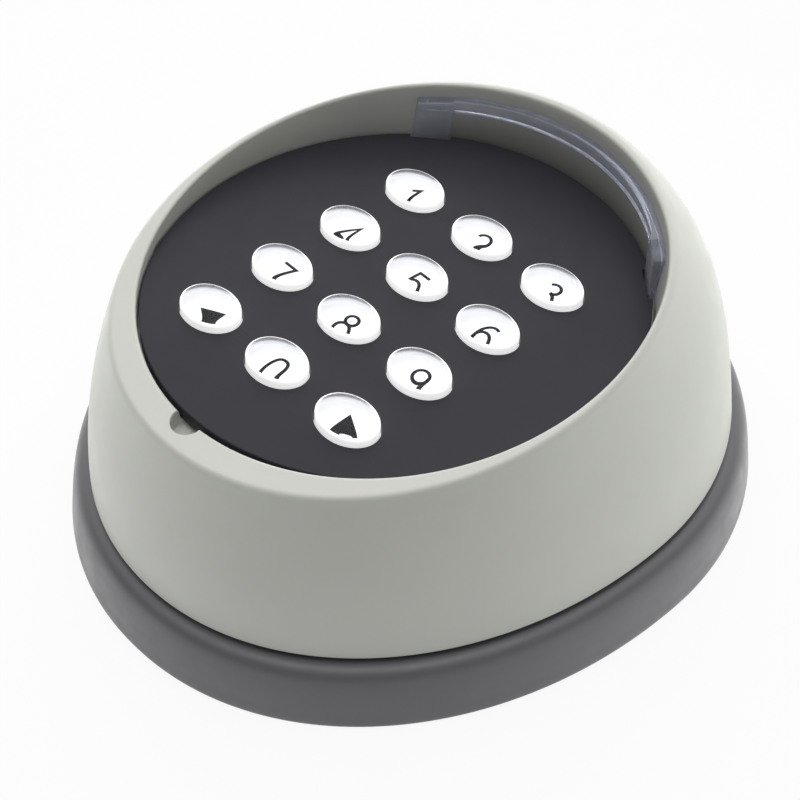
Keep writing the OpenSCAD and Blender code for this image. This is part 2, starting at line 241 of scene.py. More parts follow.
def block(name, low, high, place):
    (x0, y0, z0), (x1, y1, z1) = low, high
    corners = np.array([(x, y, z) for z in (z0, z1)
                        for x, y in ((x0, y0), (x1, y0), (x1, y1), (x0, y1))], float)
    return mesh_from(name, place(corners), [(0, 1, 2, 3), (4, 5, 6, 7), (0, 1, 5, 4),
                                            (1, 2, 6, 5), (2, 3, 7, 6), (3, 0, 4, 7)])


def combine(ob, others, operation):
    """Adds or cuts solids and applies the result."""
    for other in others:
        modifier = ob.modifiers.new("cut", "BOOLEAN")
        modifier.object, modifier.operation, modifier.solver = other, operation, "EXACT"
    depsgraph = bpy.context.evaluated_depsgraph_get()
    mesh = bpy.data.meshes.new_from_object(ob.evaluated_get(depsgraph))
    ob.modifiers.clear()
    old = ob.data
    ob.data = mesh
    mesh.name = ob.name
    bpy.data.meshes.remove(old)
    for other in others:
        bpy.data.objects.remove(other)
    return ob


def settle(ob, body, materials, nodes, sharp=38, weighted=True):
    """Scales to metres, sets the shading, rides on its body and stands for its CAD nodes."""
    mesh = ob.data
    bm = bmesh.new()
    bm.from_mesh(mesh)
    bmesh.ops.remove_doubles(bm, verts=bm.verts, dist=1e-4)
    bmesh.ops.dissolve_degenerate(bm, dist=1e-4, edges=bm.edges)
    bmesh.ops.recalc_face_normals(bm, faces=bm.faces)
    bm.to_mesh(mesh)
    bm.free()
    mesh.transform(Matrix.Scale(MM, 4))
    mesh.shade_smooth()
    mesh.set_sharp_from_angle(angle=math.radians(sharp))
    if weighted:
        ob.modifiers.new("weighted", "WEIGHTED_NORMAL").keep_sharp = True
    for material in materials:
        mesh.materials.append(material)
    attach(ob, body)
    if nodes:
        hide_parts(*nodes)


# ------------------------------------------------------------------ shader helpers
def lin(rgb):
    """8-bit sRGB to a linear colour."""
    return tuple(((v / 255) / 12.92 if v / 255 <= 0.04045 else ((v / 255 + 0.055) / 1.055) ** 2.4)
                 for v in rgb) + (1.0,)


def shade(colour, factor):
    return tuple(min(1.0, v * factor) for v in colour[:3]) + (1.0,)


class Tree:
    """A node tree. Inputs take a value, a socket, or a node, which stands for its first output."""

    def __init__(self, tree, output):
        self.tree = tree
        tree.nodes.clear()
        self.out = self.add(output)

    def set(self, node, key, value):
        if isinstance(value, bpy.types.Node):
            value = value.outputs[0]
        if isinstance(value, bpy.types.NodeSocket):
            self.tree.links.new(value, node.inputs[key])
        else:
            node.inputs[key].default_value = value

    def add(self, kind, *in_order, operation=None, **by_name):
        """New node; inputs go by place or by name, with _ for a space."""
        node = self.tree.nodes.new("ShaderNode" + kind)
        if operation:
            node.operation = operation
        for i, value in enumerate(in_order):
            self.set(node, i, value)
        for key, value in by_name.items():
            self.set(node, key.replace("_", " "), value)
        return node

    def show(self, shader):
        self.set(self.out, 0, shader)

    def math(self, operation, a, b):
        return self.add("Math", a, b, 0.0, operation=operation)

    def vector(self, operation, *inputs, out="Value"):
        return self.add("VectorMath", *inputs, operation=operation).outputs[out]

    def total(self, *parts):
        result = parts[0]
        for part in parts[1:]:
            result = self.math("ADD", result, part)
        return result

    def rest(self, value):
        return self.math("SUBTRACT", 1.0, value)

    def lobe(self, vector, direction, gain):
        """gain * max(vector . direction, 0) squared"""
        facing = self.math("MAXIMUM", self.vector("DOT_PRODUCT", vector, direction), 0.0)
        return self.math("MULTIPLY", self.math("POWER", facing, 2.0), gain)

    def flat_direction(self, vector):
        flat = self.vector("MULTIPLY", vector, (1, 1, 0), out="Vector")
        return self.vector("NORMALIZE", flat, out="Vector")

    def span(self, value, low=0.0, high=1.0, start=0.3, end=0.7):
        """Maps start..end to low..high."""
        return self.add("MapRange", Value=value, From_Min=start, From_Max=end,
                        To_Min=low, To_Max=high)


class Mat(Tree):
    """A material whose textures read positions in millimetres of the shared frame."""

    def __init__(self, name):
        self.material = bpy.data.materials.new(name)
        self.material.use_nodes = True
        super().__init__(self.material.node_tree, "OutputMaterial")
        coordinates = self.add("TexCoord").outputs["Object"]
        self.position = self.add("Mapping", coordinates, Scale=(1000, 1000, 1000))

    def finish(self, shader):
        self.show(shader)
        return self.material

    def noise(self, scale, detail=3.0, rough=0.55, stretch=None):
        source = self.position
        if stretch:
            source = self.add("Mapping", source, Scale=stretch)
        return self.add("TexNoise", Scale=scale, Detail=detail, Roughness=rough, Vector=source)

    def ramp(self, value, stops):
        node = self.add("ValToRGB", value)
        elements = node.color_ramp.elements
        while len(elements) < len(stops):
            elements.new(0.5)
        for element, (position, colour) in zip(elements, stops):
            element.position = position
            element.color = (*colour[:3], 1)
        return node

    def drift(self, value, dark, light, margin=0.3):
        """Runs from dark to light over the middle of a noise."""
        return self.ramp(value, [(margin, dark), (1 - margin, light)])

    def blend(self, factor, a, b, mode="MIX"):
        node = self.add("Mix")
        node.data_type = "RGBA"
        node.blend_type = mode
        for key, value in ((0, factor), (6, a), (7, b)):
            self.set(node, key, value)
        return node.outputs[2]

    def bump(self, height, strength, depth, normal=None):
        """Bump of a depth in millimetres, laid over another if given."""
        node = self.add("Bump", Strength=strength, Distance=depth * MM, Height=height)
        if normal is not None:
            self.set(node, "Normal", normal)
        return node

    def front_height(self):
        """Distance in front of the face plate, in millimetres."""
        height = self.vector("DOT_PRODUCT", self.position, (0, SIN_TILT, COS_TILT))
        return self.math("SUBTRACT", height, GRID_Y * SIN_TILT + FACE_Z * COS_TILT)


# ------------------------------------------------------------------ materials
def hood_shade(mat, colour):
    """Painted shade on the hood's inner wall: its colour is darkened on the upper sides, and most
    of all under the light guide, more so towards the face plate.
    """
    flat = mat.vector("MULTIPLY", mat.position, (1, 1, 0), out="Vector")
    distance = mat.vector("LENGTH", flat)
    y = mat.add("SeparateXYZ", mat.position).outputs[1]
    upward = mat.math("DIVIDE", y, mat.math("MAXIMUM", distance, 1.0))
    height = mat.front_height()
    normal = mat.add("NewGeometry").outputs["Normal"]
    outward = mat.vector("DOT_PRODUCT", normal, flat)
    inner_radius = 37.5
    inner = mat.math("MULTIPLY", mat.span(outward, start=-8.0, end=-22.0),
                     mat.math("LESS_THAN", distance, inner_radius))
    side = mat.math("MULTIPLY", mat.span(upward, start=0.2, end=0.55),
                    mat.span(height, low=1.0, high=0.0, start=7.6, end=8.6))
    under = mat.math("MULTIPLY", mat.span(upward, start=0.70, end=0.80),
                     mat.span(height, low=1.0, high=0.0, start=0.2, end=6.2))
    # painted shade: the wall's colour is multiplied down to 0.80 on the upper sides and to 0.52
    # under the light guide
    painted_shade = mat.math("MULTIPLY", mat.span(side, low=1.0, high=0.80, start=0.0, end=1.0),
                    mat.span(under, low=1.0, high=0.52, start=0.0, end=1.0))
    painted_shade = mat.math("ADD", mat.math("MULTIPLY", inner, painted_shade), mat.rest(inner))
    return mat.blend(1.0, colour, mat.add("CombineColor", painted_shade, painted_shade, painted_shade), "MULTIPLY")


def moulded(name, rgb, rough, grain, grain_depth, vary, spec=0.5, painted_shade=None, glow=0.0):
    """Moulded plastic: fine grain, slow colour drift and patches of slightly worn sheen."""
    mat = Mat(name)
    base = lin(rgb)
    patches = mat.math("MULTIPLY", mat.noise(scale=0.06, detail=2), 0.65)
    specks = mat.math("MULTIPLY", mat.noise(scale=1.6, detail=4, rough=0.7), 0.35)
    colour = mat.drift(mat.math("ADD", patches, specks),
                       shade(base, 1 - vary), shade(base, 1 + vary), margin=0.35)
    # painted shade, where a material is given one, darkens its colour
    if painted_shade:
        colour = painted_shade(mat, colour)
    rough_vary = 0.06
    wave = mat.bump(mat.noise(scale=0.09, detail=1), strength=0.25, depth=0.05)
    grains = mat.noise(scale=1 / grain, detail=2, rough=0.6)
    surface = mat.add(
        "BsdfPrincipled", Base_Color=colour, Specular_IOR_Level=spec, Coat_Roughness=0.2,
        Roughness=mat.span(mat.noise(scale=0.35), low=rough - rough_vary, high=rough + rough_vary),
        Normal=mat.bump(grains, strength=0.5, depth=grain_depth, normal=wave))
    # painted light: the surface glows though it is no lamp
    if glow:
        mat.set(surface, "Emission Color", (1, 1, 1, 1))
        mat.set(surface, "Emission Strength", glow)
    return mat.finish(surface)


def rubber(name, rgb, rough):
    """Rubber with a thin, patchy film of dust."""
    mat = Mat(name)
    base = lin(rgb)
    dust = mat.noise(scale=0.25)
    mottle = mat.drift(mat.noise(scale=1.2, detail=5, rough=0.7), shade(base, 0.8),
                       shade(base, 1.25))
    film = mat.span(dust, low=0.0, high=0.10, start=0.45, end=0.75)
    return mat.finish(mat.add(
        "BsdfPrincipled", Base_Color=mat.blend(film, mottle, lin((120, 118, 112))),
        Roughness=mat.span(dust, low=rough - 0.1, high=rough + 0.1), Specular_IOR_Level=0.35,
        Normal=mat.bump(mat.noise(scale=9), strength=0.4, depth=0.02)))


def metal(name, rgb, rough, stretch):
    mat = Mat(name)
    base = lin(rgb)
    brush = mat.noise(scale=2.2, detail=4, rough=0.7, stretch=stretch)
    return mat.finish(mat.add(
        "BsdfPrincipled", Metallic=1.0,
        Base_Color=mat.drift(mat.noise(scale=0.5), shade(base, 0.86), shade(base, 1.06)),
        Roughness=mat.span(brush, low=rough - 0.08, high=rough + 0.12),
        Normal=mat.bump(brush, strength=0.25, depth=0.01)))


def clear(name, tint, ior, gloss=None, milk=None, milkiness=0.0):
    """Clear plastic. Shadow and diffuse rays pass straight on, so what lies under is lit evenly.

    gloss scales the reflection; milk is the colour of a cloudy share of the body.
    """
    mat = Mat(name)
    hue = mat.drift(mat.noise(scale=0.3, detail=2), shade(lin(tint), 0.985), lin(tint))

    def polished(kind, haze, **more):
        ripple = mat.bump(mat.noise(scale=0.5, detail=2), strength=0.3, depth=0.004)
        return mat.add(kind, Color=hue, Normal=ripple,
                       Roughness=mat.span(mat.noise(scale=0.8), high=haze), **more)

    if gloss is None:
        body = polished("BsdfGlass", haze=0.02, IOR=ior)
    else:
        bend = polished("BsdfRefraction", haze=0.01, IOR=ior)
        shine = polished("BsdfGlossy", haze=0.01)
        amount = mat.math("MULTIPLY", mat.add("Fresnel", IOR=ior), gloss)
        body = mat.add("MixShader", amount, bend, shine)
    if milk is not None:
        cloud = mat.span(mat.noise(scale=0.4), low=milkiness - 0.05, high=milkiness + 0.05)
        body = mat.add("MixShader", cloud, body, mat.add("BsdfDiffuse", lin(milk)))
    ray = mat.add("LightPath").outputs
    passing = mat.math("MAXIMUM", ray["Is Shadow Ray"], ray["Is Diffuse Ray"])
    return mat.finish(mat.add("MixShader", passing, body, mat.add("BsdfTransparent", hue)))


def contact_material():
    """The cap's underside: it lies on the print with no air between, so nothing bends there."""
    mat = Mat("key_contact")
    tint = mat.drift(mat.noise(scale=0.5, detail=2), (0.985, 0.985, 0.99), (1, 1, 1))
    return mat.finish(mat.add("BsdfTransparent", tint))


def skirt_material():
    """White coat on a key's side. Outside it glows a little (painted light); inside, as seen
    through the cap, its colour carries a painted shade band and a painted bright rim near the
    dome's edge, with a painted glow near the print and at the rim.
    """
    # place from the print (0) to the dome's edge (1), painted inner colour (a shade band and a
    # bright rim), painted inner glow
    painted_inner_stops = [(0.00, (246, 246, 248), 0.28), (0.33, (228, 228, 232), 0.12),
                   (0.53, (120, 120, 126), 0.0), (0.80, (112, 112, 118), 0.0),
                   (0.93, (250, 250, 250), 0.6)]
    # painted light: the outside of the coat glows though it is no lamp
    painted_outer_glow = (0.62, 0.62, 0.62, 1)
    mat = Mat("key_skirt")
    inside = mat.add("NewGeometry").outputs["Backfacing"]
    outer = mat.drift(mat.noise(scale=0.8, detail=2), lin((244, 244, 244)), lin((250, 250, 250)))
    height = mat.span(mat.front_height(), start=PRINT_W, end=0.34)
    inner = mat.ramp(height, [(place, lin(rgb)) for place, rgb, _ in painted_inner_stops])
    painted_inner_glow = mat.ramp(height, [(place, (glow,) * 3) for place, _, glow in painted_inner_stops])
    return mat.finish(mat.add(
        "BsdfPrincipled", Base_Color=mat.blend(inside, outer, inner), Specular_IOR_Level=0.5,
        Roughness=mat.span(mat.noise(scale=0.35), low=0.26, high=0.34),
        Normal=mat.bump(mat.noise(scale=4, detail=2, rough=0.6), strength=0.5, depth=0.002),
        Emission_Color=mat.blend(inside, painted_outer_glow, painted_inner_glow), Emission_Strength=1.0))


def ink_material():
    mat = Mat("legend_ink")
    base = lin((12, 12, 15))
    return mat.finish(mat.add(
        "BsdfPrincipled", Roughness=0.6, Specular_IOR_Level=0.3,
        Base_Color=mat.drift(mat.noise(scale=4, detail=4, rough=0.7), shade(base, 0.85),
                             shade(base, 1.2)),
        Normal=mat.bump(mat.noise(scale=14, detail=2), strength=0.2, depth=0.004)))


def board_material():
    """Green solder mask over glass cloth, with copper tracks showing as a lighter green."""
    mask, track, deep = lin((20, 82, 44)), lin((44, 126, 66)), lin((14, 66, 40))
    mat = Mat("board")
    weave = mat.add("TexWave", Scale=0.9, Distortion=1.5, Vector=mat.position).outputs["Fac"]
    brick = mat.add("TexBrick", Scale=0.22, Mortar_Size=0.03, Vector=mat.position)
    brick.offset = 0.37
    tracks = brick.outputs["Fac"]
    cloud = mat.span(mat.noise(scale=0.2), low=0.0, high=0.35)
    cloth = mat.bump(weave, strength=0.1, depth=0.01)
    return mat.finish(mat.add(
        "BsdfPrincipled", Base_Color=mat.blend(cloud, mat.blend(tracks, mask, track), deep),
        Roughness=mat.span(mat.noise(scale=0.6), low=0.22, high=0.36), Coat_Weight=0.3,
        Normal=mat.bump(tracks, strength=0.6, depth=0.03, normal=cloth)))


# the housing's colour carries painted shade on the hood's inner wall
HOUSING_PLASTIC = moulded("housing_plastic", rgb=(206, 208, 200), rough=0.46, grain=0.22,
                          grain_depth=0.010, vary=0.015, spec=0.7, painted_shade=hood_shade)
BASE_PLASTIC = moulded("base_plastic", rgb=(104, 104, 108), rough=0.40, grain=0.20,
                       grain_depth=0.008, vary=0.03, spec=0.55)
FACE_PLASTIC = moulded("face_plastic", rgb=(54, 53, 58), rough=0.42, grain=0.14,
                       grain_depth=0.006, vary=0.04, spec=0.1)
# painted light: the white carrier and its printed face glow a little though they are no lamp
KEY_WHITE = moulded("key_white", rgb=(250, 250, 250), rough=0.35, grain=0.3,
                    grain_depth=0.002, vary=0.006, glow=0.22)
KEY_CLEAR = clear("key_clear", tint=(252, 253, 255), ior=1.47, gloss=0.3)
KEY_CONTACT = contact_material()
KEY_SKIRT = skirt_material()
GUIDE_CLEAR = clear("clear_guide", tint=(244, 245, 250), ior=1.4, milk=(190, 194, 205),
                    milkiness=0.17)
SEAL_RUBBER = rubber("seal_rubber", rgb=(22, 22, 22), rough=0.75)
SILICONE = rubber("silicone", rgb=(212, 214, 214), rough=0.55)
STEEL = metal("screw_steel", rgb=(196, 196, 200), rough=0.28, stretch=(1, 1, 14))
CAN_METAL = metal("can_metal", rgb=(205, 205, 208), rough=0.22, stretch=(1, 1, 1))
CHIP_BLACK = moulded("chip_black", rgb=(30, 30, 32), rough=0.55, grain=0.1,
                     grain_depth=0.01, vary=0.08)
SLEEVE = moulded("capacitor_sleeve", rgb=(34, 42, 84), rough=0.25, grain=0.5,
                 grain_depth=0.004, vary=0.05)
TERMINAL = moulded("terminal_green", rgb=(34, 110, 66), rough=0.45, grain=0.2,
                   grain_depth=0.01, vary=0.05)
LED_BODY = moulded("led_body", rgb=(238, 228, 188), rough=0.2, grain=0.5,
                   grain_depth=0.004, vary=0.04)
INK = ink_material()
BOARD = board_material()

# ------------------------------------------------------------------ housing
EDGE_ROUND = 0.3                      # lower edge of the wall
RIM_ROUND = 0.62                      # outer edge of the rim
MOUTH_ROUND = 0.42                    # inner edge of the rim
SHELF_DROP, WELL_DROP = 2.05, 3.85    # shelf round the face plate and its underside
SHELF_WIDTH = 2.2
WELL_WALL = 1.4                       # thickness behind the hood's inner wall
WALL_FROM, WALL_TO = 0.012, 0.968     # part of the wall between its rounded edges
NOTCH_Y = -36.2


def housing_rings():
    """One closed section: up the outside, over the rim, down the well and back inside."""
    c = np.cos(AROUND)
    well_y = oval_xy(WELL, 0, AROUND)[1]
    rim_y = oval_xy(RIM, 0, AROUND)[1]
    roof_z = mix(face_plane(well_y) - 3.45, rim_plane(rim_y) - 3.2,
                 c * c * np.where(c > 0, 1, 0.15))
    roof_t = (roof_z - FOOT_Z) / (rim_plane(rim_y) - FOOT_Z)
    # rounded lower edge, then the bowed wall
    rings = bezier(wall(AROUND, 0.0, EDGE_ROUND), wall(AROUND, 0.0, 0.0),
                   wall(AROUND, WALL_FROM, 0.0), 5)
    rings += [wall(AROUND, t, 0.0) for t in np.linspace(WALL_FROM, WALL_TO, 34)[1:]]
    # rounded outer edge of the rim
    x, y = oval_xy(RIM, RIM_ROUND, AROUND)
    top = xyz(x, y, rim_plane(y))
    rings += bezier(rings[-1], wall(AROUND, 1.0, 0.0), top, 8)[1:]
    # flat land, then down the inner wall to the shelf
    edge, land_end = mouth(AROUND, 0, 0), mouth(AROUND, -MOUTH_ROUND, 0)
    rings += [mix(top, land_end, t) for t in (0.08, 0.35, 0.65, 0.92, 1.0)]
    shelf = well(AROUND, 0, SHELF_DROP)
    down = mix(edge, shelf, MOUTH_ROUND / (edge - shelf)[:, 2:3])
    rings += bezier(land_end, edge, down, 6)[1:]
    rings += [mix(down, shelf, t) for t in np.linspace(0, 1, 9)[1:]]
    rings += [well(AROUND, SHELF_WIDTH, SHELF_DROP), well(AROUND, SHELF_WIDTH, WELL_DROP),
              well(AROUND, -WELL_WALL, WELL_DROP)]
    # behind the inner wall up to the roof, then down the inside of the outer wall
    inner_z = wall(AROUND, roof_t, SKIN)[:, 2]
    high, low = mouth(AROUND, -WELL_WALL, 0), well(AROUND, -WELL_WALL, 0)
    t = np.clip((inner_z - low[:, 2]) / np.maximum(1, high[:, 2] - low[:, 2]), 0, 1)
    rings.append(xyz(mix(low[:, 0], high[:, 0], t), mix(low[:, 1], high[:, 1], t), inner_z))
    return rings + [wall(AROUND, k * roof_t, SKIN) for k in np.linspace(1, 0, 12)]


def pry_notch():
    """Cutter for the half-round pry notch with a softened lip."""
    # (radius, z) below, then (radius, drop under the rim plane)
    below = [(1.85, 31.95), (2.0, 32.02), (2.05, 32.16)]
    lip = [(2.05, 0.3), (2.08, 0.14), (2.15, 0.03), (2.24, -0.04), (2.24, -3)]
    rings = [at_height(ellipse(0, NOTCH_Y, r, r, 72), z) for r, z in below]
    for r, drop in lip:
        circle = ellipse(0, NOTCH_Y, r, r, 72)
        rings.append(np.column_stack([circle, rim_plane(circle[:, 1]) - drop]))
    return loft("cutter", rings)


def leg_pocket(side):
    """Cutter for the pocket beside a leg of the light guide."""
    angle = side * LEG_ANGLE
    x, y = oval_xy(WELL, 0, np.array([angle]))
    return block("cutter", (-1.9, -2.05, 24), (1.9, -0.3, 30.6),
                 lambda points: turn_and_move(points, x, y, -angle))


def housing_mesh():
    ob = loft("housing_shell", housing_rings(), closed=True)
    pillars = [turned("pillar", x, y, [(PILLAR_R, PILLAR_FOOT_Z + 0.2),
                                       (PILLAR_R, face_plane(y + PILLAR_R) - 2.15)])
               for x, y in PILLARS]
    combine(ob, pillars, "UNION")
    cutters = []
    for x, y in PILLARS:
        cutters.append(turned("cutter", x, y, [(1.7, 5), (1.7, 33)], 48))
        cutters.append(turned("cutter", x, y, [(3.1, SCREW_SEAT_Z), (3.1, 34)], 48))
    cutters += [pry_notch(), leg_pocket(-1), leg_pocket(1)]
    return combine(ob, cutters, "DIFFERENCE")


settle(housing_mesh(), "root", [HOUSING_PLASTIC], ["housing"], sharp=30)

# ------------------------------------------------------------------ base
# (inset from the base outline, z): an upright band that rolls over into the ledge
BASE_PROFILE = [(0.35, 0), (0.12, 0.12), (0, 0.4), (0.06, 1.2), (0.3, 2.6), (0.48, 3.9),
                (0.7, 5.2), (0.93, 6.4), (1.2, 7.4), (1.38, 7.95), (1.62, 8.42), (1.92, 8.8),
                (2.3, 9.1), (2.75, 9.3), (3.2, 9.38), (3.7, LEDGE_Z)]
# (inset, z) on the wall side, from the middle out, with the seal's groove
BASE_UNDERSIDE = [(9.0, 0), (6.6, 0), (6.6, 1.5), (2.6, 1.5), (2.6, 0),
                  (0.35 + 1.2, 0), (0.35 + 0.3, 0)]
# (inset from the foot outline, z): the upstand inside the housing and the tray floor
BASE_UPSTAND = [(2.8, LEDGE_Z), (2.95, 12.8), (3.15, 13.0), (4.4, 13.0), (4.6, 12.8), (4.6, 2.6)]
WALL_HOLES = [(x, y) for x in (-18, 18) for y in (-30, 30)]
CABLE_Y = -22


def base_side():
    """The side profile resampled to even steps and smoothed."""
    points = np.array(BASE_PROFILE, float)
    length = np.concatenate([[0], np.cumsum(np.hypot(*np.diff(points, axis=0).T))])
    even = np.linspace(0, length[-1], 44)
    inset, z = (np.interp(even, length, points[:, k]) for k in (0, 1))
    for _ in range(2):
        for values in (inset, z):
            values[1:-1] = (values[:-2] + 2 * values[1:-1] + values[2:]) / 4
    return list(zip(inset, z))


def base_mesh():
    rings = [oval_ring(BASE, inset, z) for inset, z in BASE_UNDERSIDE + base_side()]
    rings += [oval_ring(FOOT, inset, z) for inset, z in BASE_UPSTAND]
    ob = loft("base_shell", rings)
    bosses = [turned("boss", x, y, [(3.6, 1), (3.6, PILLAR_FOOT_Z - 0.3), (3.3, PILLAR_FOOT_Z)])
              for x, y in PILLARS]
    bosses += [turned("boss", x, y, [(5, 1), (5, 3.4), (4.8, 3.6)]) for x, y in WALL_HOLES]
    bosses += [turned("boss", 0, CABLE_Y, [(8, 1.5), (8, 3.8), (7.8, 4.0)], 72)]
    combine(ob, bosses, "UNION")
    cutters = [turned("cutter", x, y, [(1.5, 4), (1.5, 16)], 40) for x, y in PILLARS]
    cutters += [turned("cutter", x, y, [(2.6, -1), (2.6, 0.0), (2.25, 0.35), (2.25, 7)], 48)
                for x, y in WALL_HOLES]
    cutters += [turned("cutter", 0, CABLE_Y, [(7.3, -1), (7.3, 1.3), (5, 1.3), (5, 7)], 72)]
    return combine(ob, cutters, "DIFFERENCE")


settle(base_mesh(), "root", [BASE_PLASTIC], ["base_tray"], sharp=30)


# ------------------------------------------------------------------ seals
def seal(name, oval, insets, heights, node):
    """A rubber ring of rounded rectangular section between two insets of an outline."""
    section = rounded_box(*insets, *heights, high_r=0.3, low_r=0.3, steps=4)
    ob = loft(name, [oval_ring(oval, inset, z) for inset, z in section], closed=True)
    settle(ob, "root", [SEAL_RUBBER], [node])


seal("housing_gasket", FOOT, (0.55, 2.65), (LEDGE_Z + 0.01, FOOT_Z - 0.01), "housing_seal")
seal("wall_gasket", BASE, (2.7, 6.5), (0.0, 1.45), "wall_seal")

# ------------------------------------------------------------------ face plate
PLATE_GAP = 0.22
PLATE_A, PLATE_B = WELL.half_width - PLATE_GAP, WELL.up - PLATE_GAP
PLATE_THICK = 2
NOTCH_HALF, NOTCH_DEPTH, NOTCH_ROUND = 2.9, 1.05, 0.35  # plate notches for the guide's legs
# (y, w) of a snap hook that points towards +y
HOOK_PROFILE = [(-1.2, -1.5), (-1.2, -5.0), (0.2, -5.0), (0.95, -4.5), (0.95, -4.05),
                (0.0, -4.05), (0.0, -1.5)]


def notch_frame(side):
    """Origin on the well's edge, with axes across and out of the notch."""
    turn = -side * LEG_ANGLE
    origin = np.array([side * WELL.half_width * math.sin(LEG_ANGLE),
                       FACE_Y + WELL.up * math.cos(LEG_ANGLE)])
    return (origin, np.array([math.cos(turn), math.sin(turn)]),
            np.array([-math.sin(turn), math.cos(turn)]))


def edge_out(across, notch, a, b):
    """How far out the plate's oval lies at a place across the notch, by bisection."""
    low, high = -2.0, 3.0
    for _ in range(50):
        middle = (low + high) / 2
        x, y = notch[0] + across * notch[1] + middle * notch[2]
        if (x / a) ** 2 + ((y - FACE_Y) / b) ** 2 < 1:
            low = middle
        else:
            high = middle
    return (low + high) / 2


def notch_points(notch, inset, a, b):
    half, bottom = NOTCH_HALF + inset, -NOTCH_DEPTH - inset
    radius = NOTCH_ROUND
    local = [(-half, edge_out(-half, notch, a, b))]
    for centre, start in ((-(half - radius), 180), (half - radius, 270)):
        for j in range(6):
            t = math.radians(start + 90 * j / 5)
            local.append((centre + radius * math.cos(t), bottom + radius + radius * math.sin(t)))
    local.append((half, edge_out(half, notch, a, b)))
    return [notch[0] + across * notch[1] + out * notch[2] for across, out in local]


def plate_outline(inset):
    """The plate's oval, clockwise seen from the front, with two notches for the guide's legs."""
    a, b = PLATE_A - inset, PLATE_B - inset
    t = around(720)
    notches = [notch_frame(1), notch_frame(-1)]
    outline, done = [], set()
    for point in np.column_stack([a * np.sin(t), FACE_Y + b * np.cos(t)]):
        hit = None
        for k, (origin, across, out) in enumerate(notches):
            offset = point - origin
            if abs(offset @ across) < 3.1 and offset @ out > -1.3:
                hit = k
        if hit is None:
            outline.append(point)
        elif hit not in done:
            done.add(hit)
            outline += notch_points(notches[hit], inset, a, b)
    return np.array(outline)


def plate_edge(outline, inward, top, bottom):
    """(points, w) down an edge; inward is the sign of an inset, top and bottom are radii."""
    rows = []
    for t in map(math.radians, (0, 22.5, 45, 67.5, 90)):
        rows.append((outline(inward * top * (1 - math.sin(t))), -top * (1 - math.cos(t))))
    rows.append((outline(0), -1.0))
    for t in map(math.radians, (0, 45, 90)):
        rows.append((outline(inward * bottom * (1 - math.cos(t))),
                     -PLATE_THICK + bottom * (1 - math.sin(t))))
    return rows


def skin_rows(bm, rows):
    """Skins one edge of the plate and returns its first and last rows of vertices."""
    rows = [[bm.verts.new(tuple(v)) for v in front(at_height(points, w))] for points, w in rows]
    n = len(rows[0])
    for upper, lower in zip(rows[:-1], rows[1:]):
        for j in range(n):
            k = (j + 1) % n
            bm.faces.new((upper[j], upper[k], lower[k], lower[j]))
    return rows[0], rows[-1]


def plate_hook(cx, cy, angle):
    return loft("hook", [
        front(turn_and_move(np.array([(x, y, w) for y, w in HOOK_PROFILE]), cx, cy, angle))
        for x in (-2.5, 2.5)])


def plate_mesh():
    """Plate with rounded edges all round and twelve rounded apertures."""
    bm = bmesh.new()
    loops = [skin_rows(bm, plate_edge(plate_outline, 1, top=0.16, bottom=0.1))]
    for cx, cy in KEYS.values():
        def aperture(inset):
            return ellipse(cx, cy, KEY_A + KEY_GAP - inset, KEY_B + KEY_GAP - inset, 128)
        loops.append(skin_rows(bm, plate_edge(aperture, -1, top=0.16, bottom=0.08)))
    for side in (0, 1):
        edges = []
        for loop in loops:
            row = loop[side]
            edges += [bm.edges.get((row[j], row[(j + 1) % len(row)])) for j in range(len(row))]
        bmesh.ops.triangle_fill(bm, use_beauty=True, use_dissolve=False, edges=edges)
    bmesh.ops.recalc_face_normals(bm, faces=bm.faces)
    mesh = bpy.data.meshes.new("face_panel")
    bm.to_mesh(mesh)
    bm.free()
    ob = new_object("face_panel", mesh)
    parts = [turned("post", x, y, [(1.8, -5.63), (2, -5.4), (2, -1.0)], 40, front)
             for x, y in POSTS]
    parts += [plate_hook(side * 29.75, FACE_Y, -side * math.pi / 2) for side in (-1, 1)]
    parts += [plate_hook(0, FACE_Y + 32, 0), plate_hook(0, FACE_Y - 32, math.pi)]
    combine(ob, parts, "UNION")
    bores = [turned("cutter", x, y, [(0.85, -7), (0.85, -2.65)], 24, front) for x, y in POSTS]
    return combine(ob, bores, "DIFFERENCE")


settle(plate_mesh(), "root", [FACE_PLASTIC], ["face_plate"], sharp=32)

# ------------------------------------------------------------------ light guide
GUIDE_ROUND, GUIDE_BACK_ROUND = 0.35, 0.1
LEG_TOP = 0.205        # where a leg starts, as a share of the hood's depth
LEG_TOP_ROUND = 0.3
LEG_END_DROP = 2.0


def hood_points(angle, depth, inset):
    """On the hood's inner wall, from the mouth (depth 0) to the well (depth 1)."""
    angle = np.atleast_1d(angle)
    return mix(mouth(angle, inset, 0.2), well(angle, inset, 0), depth)


def hood_height(angle):
    return (hood_points(angle, 0, 0) - hood_points(angle, 1, 0))[0, 2]


def guide_strip():
    rings = []
    for angle in np.radians(np.linspace(-43, 43, 120)):
        h = hood_height(angle)
        section = rounded_box(0.08, 1.3, 0.21 * h, 0.44 * h, high_r=0.32,
                              low_r=GUIDE_BACK_ROUND, steps=6)
        rings.append(np.array([hood_points(angle, s / h, inset)[0] for inset, s in section]))
    return loft("light_pipe", rings)


